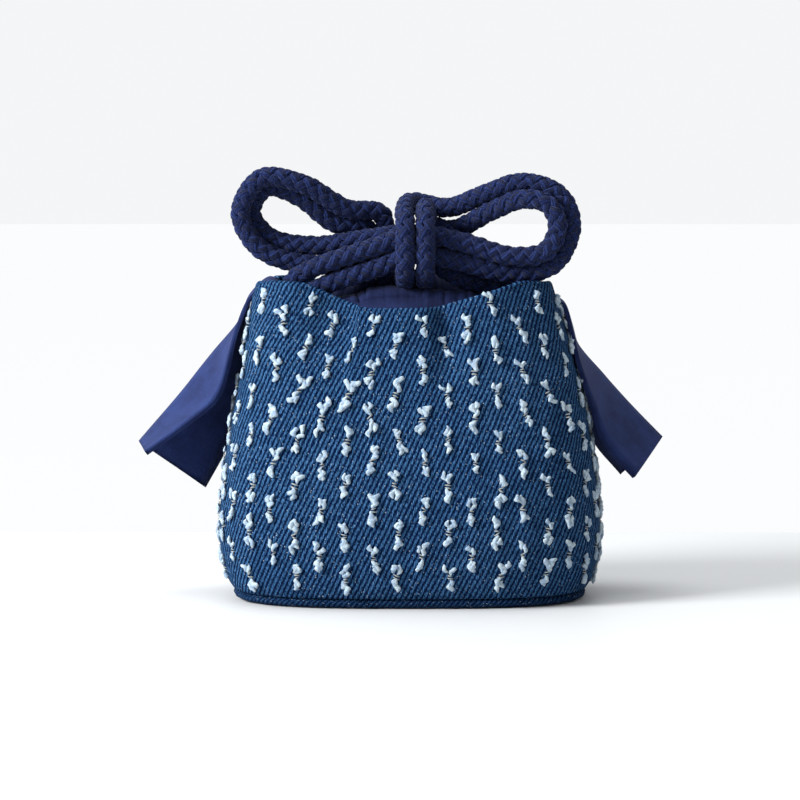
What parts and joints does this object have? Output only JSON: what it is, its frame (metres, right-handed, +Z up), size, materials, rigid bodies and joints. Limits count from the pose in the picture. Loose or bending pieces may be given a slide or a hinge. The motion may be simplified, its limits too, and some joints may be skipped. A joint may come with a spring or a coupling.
{
  "type": "drawstring pouch",
  "caption": "Small standing pouch of tufted denim with a gathered cotton mouth and side tabs, closed by braided drawstrings tied in a bow.",
  "frame": {"origin": "centre of the flat underside of the base panel", "axes": "+Z up through the mouth, the front with the bow faces -Y, +X to the right-hand tab seen from the front"},
  "size_m": [0.1653, 0.076, 0.1331],
  "materials": {
    "denim": "right-hand twill denim with clipped pale blue tufts",
    "lining_cotton": "plain woven cotton",
    "navy_cotton": "plain woven cotton, matt",
    "navy_cord": "braided soft cotton cord"
  },
  "bodies": {
    "root": {"denim_body": "denim", "denim_base": "denim", "lining_bag": "lining_cotton", "front_collar": "navy_cotton", "back_collar": "navy_cotton", "left_tab": "navy_cotton", "right_tab": "navy_cotton", "front_drawstring": "navy_cord", "back_drawstring": "navy_cord"}
  },
  "joints": []
}
